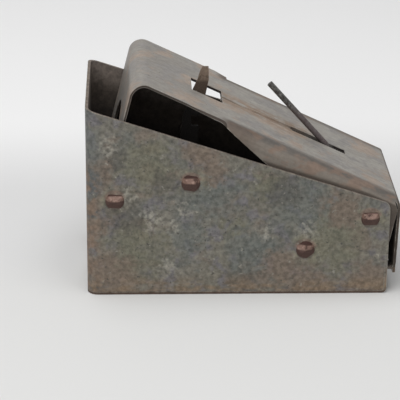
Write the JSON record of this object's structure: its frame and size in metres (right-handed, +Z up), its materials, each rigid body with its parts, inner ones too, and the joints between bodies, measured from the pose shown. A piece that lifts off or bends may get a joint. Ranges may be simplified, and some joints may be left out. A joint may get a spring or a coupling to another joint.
{
  "type": "mouse trap",
  "caption": "Wedge-shaped choker mouse trap of folded sheet steel, with a sprung inner jaw, a bent locking bar and a bait-tripped catch.",
  "frame": {"origin": "middle of the underside of the floor plate", "axes": "+X along the box from the tall entrance end towards the low hinge end, +Y across it away from the pin heads, +Z up"},
  "size_m": [0.1139, 0.0621, 0.0799],
  "materials": {
    "sheet_steel": "aged tinned sheet with rust stains",
    "rusty_steel": "rusted",
    "rivet_steel": "dull",
    "bar_steel": "dull drawn rod",
    "spring_steel": "dark spring wire"
  },
  "bodies": {
    "box": {"base_plate": "sheet_steel", "body_shell": "sheet_steel", "base_rivets": "rivet_steel", "neck_pin": "rusty_steel", "trigger_pin": "rusty_steel", "bar_pin": "rusty_steel", "jaw_pin": "rusty_steel", "neck_pin_washer": "rivet_steel", "trigger_pin_washer": "rivet_steel", "bar_pin_washer": "rivet_steel", "jaw_pin_washer": "rivet_steel", "trigger_sleeve_near": "rivet_steel", "trigger_sleeve_far": "rivet_steel", "bar_sleeve_near": "rivet_steel", "bar_sleeve_far": "rivet_steel", "jaw_sleeve": "rivet_steel", "jaw_spring": "spring_steel"},
    "jaw": {"jaw": "sheet_steel"},
    "bar": {"locking_bar": "bar_steel"},
    "catch": {"catch": "rusty_steel", "bait_arm": "rusty_steel", "bait_rivets": "rivet_steel"}
  },
  "joints": [
    {"name": "jaw_hinge", "type": "hinge", "parent": "box", "child": "jaw", "pos_m": [0.0479, 0, 0.0299], "axis": [0, -1, 0], "range_deg": [0, 11], "stiffness_Nm_per_rad": 0.4, "springref_deg": -34.38, "deforming": ["jaw_spring"]},
    {"name": "bar_swing", "type": "hinge", "parent": "box", "child": "bar", "pos_m": [0.0246, 0, 0.0177], "axis": [0, -1, 0], "range_deg": [0, 31]},
    {"name": "catch_swing", "type": "hinge", "parent": "box", "child": "catch", "pos_m": [-0.0174, 0, 0.044], "axis": [0, -1, 0], "range_deg": [-8, 2]}
  ],
  "couplings": [
    {"joint": "bar_swing", "follows": "jaw_hinge", "ratio": 2.818}
  ]
}
